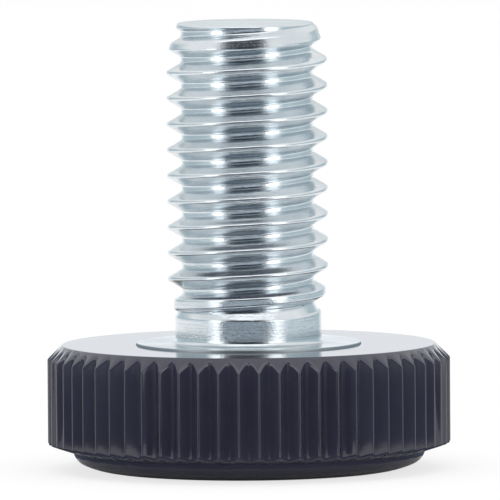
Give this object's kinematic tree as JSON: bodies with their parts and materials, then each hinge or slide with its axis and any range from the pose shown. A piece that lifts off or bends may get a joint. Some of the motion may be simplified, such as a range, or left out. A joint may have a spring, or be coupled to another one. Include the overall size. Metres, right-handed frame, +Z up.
{
  "type": "leveling glide",
  "caption": "Round black plastic foot with a fluted rim, moulded round the head of an upright zinc-plated M8 screw that turns in a leg to level it.",
  "frame": {"origin": "centre of the flat contact face under the foot", "axes": "+Z up along the screw; -Y is the side that the picture shows"},
  "size_m": [0.0196, 0.0196, 0.0217],
  "materials": {
    "zinc_steel": "bright zinc plating over rolled steel",
    "black_plastic": "moulded black nylon with a soft gloss"
  },
  "bodies": {
    "root": {"threaded_stud": "zinc_steel", "fluted_foot": "black_plastic"}
  },
  "joints": []
}
